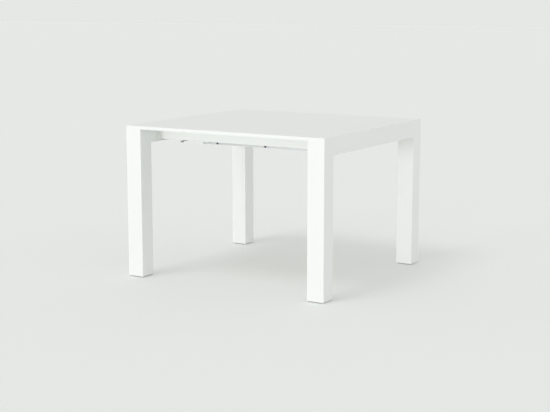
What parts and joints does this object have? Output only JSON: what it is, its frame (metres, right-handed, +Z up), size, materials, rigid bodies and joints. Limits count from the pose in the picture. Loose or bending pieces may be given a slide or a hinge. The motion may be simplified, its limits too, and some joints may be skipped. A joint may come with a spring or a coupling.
{
  "type": "extending table",
  "caption": "Square white lacquered table on flush corner legs. One end draws out on telescopic runners to open a gap for the folded leaf kept under the top.",
  "frame": {"origin": "on the floor under the middle of the closed table", "axes": "+X along the way the table opens, from the sliding end to the fixed end, +Y from the front edge to the back edge, +Z up"},
  "size_m": [1.1, 1.03, 0.75],
  "materials": {
    "white_lacquer": "satin white lacquer over board",
    "beech": "sanded beech",
    "birch_plywood": "clear lacquered birch plywood",
    "grey_aluminium": "satin anodised",
    "white_acetal": "smooth",
    "black_plastic": "matte",
    "zinc_steel": "bright zinc plate",
    "white_steel": "white powder coat",
    "black_steel": "black oxide",
    "pad_plastic": "matte",
    "felt": "pressed felt"
  },
  "bodies": {
    "fixed_section": {"back_outer_runner": "grey_aluminium", "cross_ties": "zinc_steel", "front_outer_runner": "grey_aluminium", "keeper_studs": "zinc_steel", "keepers": "white_steel", "outer_glides": "white_acetal", "right_back_leg": "white_lacquer", "right_back_rail": "white_lacquer", "right_cleat": "beech", "right_corner_brackets": "zinc_steel", "right_crossbar": "white_lacquer", "right_foot_pads": "pad_plastic", "right_front_leg": "white_lacquer", "right_front_rail": "white_lacquer", "right_mitre_tongues": "beech", "right_seam_bar": "zinc_steel", "right_top": "white_lacquer", "tie_bolts": "black_steel", "tie_washers": "zinc_steel"},
    "sliding_section": {"back_inner_runner": "grey_aluminium", "bearer_end_blocks": "birch_plywood", "front_inner_runner": "grey_aluminium", "hook_bushes": "white_acetal", "hook_pivot_bolts": "black_steel", "inner_glides": "white_acetal", "leaf_bearers": "birch_plywood", "leaf_dowels": "beech", "leaf_felt_strips": "felt", "leaf_hinge_pins": "zinc_steel", "leaf_lower_half": "white_lacquer", "leaf_lower_hinge_plates": "zinc_steel", "leaf_upper_half": "white_lacquer", "leaf_upper_hinge_plates": "zinc_steel", "left_back_leg": "white_lacquer", "left_back_rail": "white_lacquer", "left_cleat": "beech", "left_corner_brackets": "zinc_steel", "left_crossbar": "white_lacquer", "left_foot_pads": "pad_plastic", "left_front_leg": "white_lacquer", "left_front_rail": "white_lacquer", "left_mitre_tongues": "beech", "left_seam_bar": "zinc_steel", "left_top": "white_lacquer", "runner_bolts": "black_steel", "runner_packers": "black_plastic", "top_dowels": "beech"},
    "front_middle": {"front_middle_runner": "grey_aluminium", "front_middle_glides": "white_acetal"},
    "back_middle": {"back_middle_runner": "grey_aluminium", "back_middle_glides": "white_acetal"},
    "front_latch": {"front_hook": "zinc_steel"},
    "back_latch": {"back_hook": "zinc_steel"}
  },
  "joints": [
    {"name": "table_extend", "type": "slide", "parent": "fixed_section", "child": "sliding_section", "axis": [-1, 0, 0], "range_m": [0, 0.52]},
    {"name": "front_middle_slide", "type": "slide", "parent": "fixed_section", "child": "front_middle", "axis": [-1, 0, 0], "range_m": [0, 0.26]},
    {"name": "back_middle_slide", "type": "slide", "parent": "fixed_section", "child": "back_middle", "axis": [-1, 0, 0], "range_m": [0, 0.26]},
    {"name": "front_hook_swing", "type": "hinge", "parent": "sliding_section", "child": "front_latch", "pos_m": [-0.323, -0.366, 0.6714], "axis": [0, 0, -1], "range_deg": [0, 90]},
    {"name": "back_hook_swing", "type": "hinge", "parent": "sliding_section", "child": "back_latch", "pos_m": [-0.323, 0.366, 0.6714], "axis": [0, 0, 1], "range_deg": [0, 90]}
  ],
  "couplings": [
    {"joint": "front_middle_slide", "follows": "table_extend", "ratio": 0.5},
    {"joint": "back_middle_slide", "follows": "table_extend", "ratio": 0.5}
  ]
}
